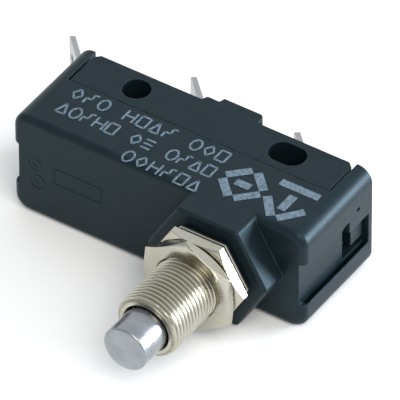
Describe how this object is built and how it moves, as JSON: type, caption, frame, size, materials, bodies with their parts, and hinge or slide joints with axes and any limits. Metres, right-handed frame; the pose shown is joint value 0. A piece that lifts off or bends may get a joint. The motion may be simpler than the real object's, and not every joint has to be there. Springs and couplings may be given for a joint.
{
  "type": "limit switch",
  "caption": "Panel-mounted plunger limit switch: flat moulded case, threaded bushing with lock nuts, sprung domed plunger and angled push-on tabs.",
  "frame": {"origin": "centre of the case's lower side face, on which the switch lies", "axes": "+X along the case's length towards the end nearer the plunger, -Y along the plunger's way out, +Y towards the terminals, +Z from the lower side face to the printed side face"},
  "size_m": [0.0565, 0.0526, 0.0174],
  "materials": {
    "case_plastic": "moulded, fine texture",
    "nickel_plate": "nickel plate, turned",
    "stainless_steel": "ground",
    "spring_steel": "drawn",
    "button_plastic": "moulded",
    "copper_alloy": "rolled",
    "silver_contact": "bright",
    "tinned_brass": "tinned"
  },
  "bodies": {
    "case": {"cover": "case_plastic", "terminal_block": "case_plastic", "bushing": "nickel_plate", "blade_support": "copper_alloy", "blade_rivet": "copper_alloy", "nc_contact": "silver_contact", "no_contact": "silver_contact", "nc_terminal": "tinned_brass", "no_terminal": "tinned_brass", "com_terminal": "tinned_brass"},
    "plunger_body": {"plunger": "stainless_steel", "retaining_ring": "spring_steel"},
    "button_body": {"inner_button": "button_plastic", "spring_seat": "stainless_steel", "overtravel_spring": "spring_steel"},
    "blade_body": {"snap_blade": "copper_alloy", "snap_spring": "copper_alloy", "moving_contact": "silver_contact"},
    "rear_nut_body": {"rear_nut": "nickel_plate"},
    "front_nut_body": {"front_nut": "nickel_plate"}
  },
  "joints": [
    {"name": "plunger_slide", "type": "slide", "parent": "case", "child": "plunger_body", "axis": [0, 1, 0], "range_m": [0, 0.004], "stiffness_N_per_m": 600, "springref_m": -0.004, "deforming": ["overtravel_spring"]},
    {"name": "button_slide", "type": "slide", "parent": "case", "child": "button_body", "axis": [0, 1, 0], "range_m": [0, 0.0004]},
    {"name": "blade_swing", "type": "hinge", "parent": "case", "child": "blade_body", "pos_m": [0.0198, -0.00325, 0.00873], "axis": [0, 0, 1], "range_deg": [-1.5, 0]},
    {"name": "rear_nut_spin", "type": "hinge", "parent": "case", "child": "rear_nut_body", "pos_m": [0.011, -0.0156, 0.00873], "axis": [0, -1, 0], "continuous": true},
    {"name": "front_nut_spin", "type": "hinge", "parent": "case", "child": "front_nut_body", "pos_m": [0.011, -0.0175, 0.00873], "axis": [0, -1, 0], "continuous": true}
  ],
  "couplings": [
    {"joint": "button_slide", "follows": "plunger_slide", "ratio": 0.1},
    {"joint": "blade_swing", "follows": "plunger_slide", "rad_per_m": -6.5}
  ]
}
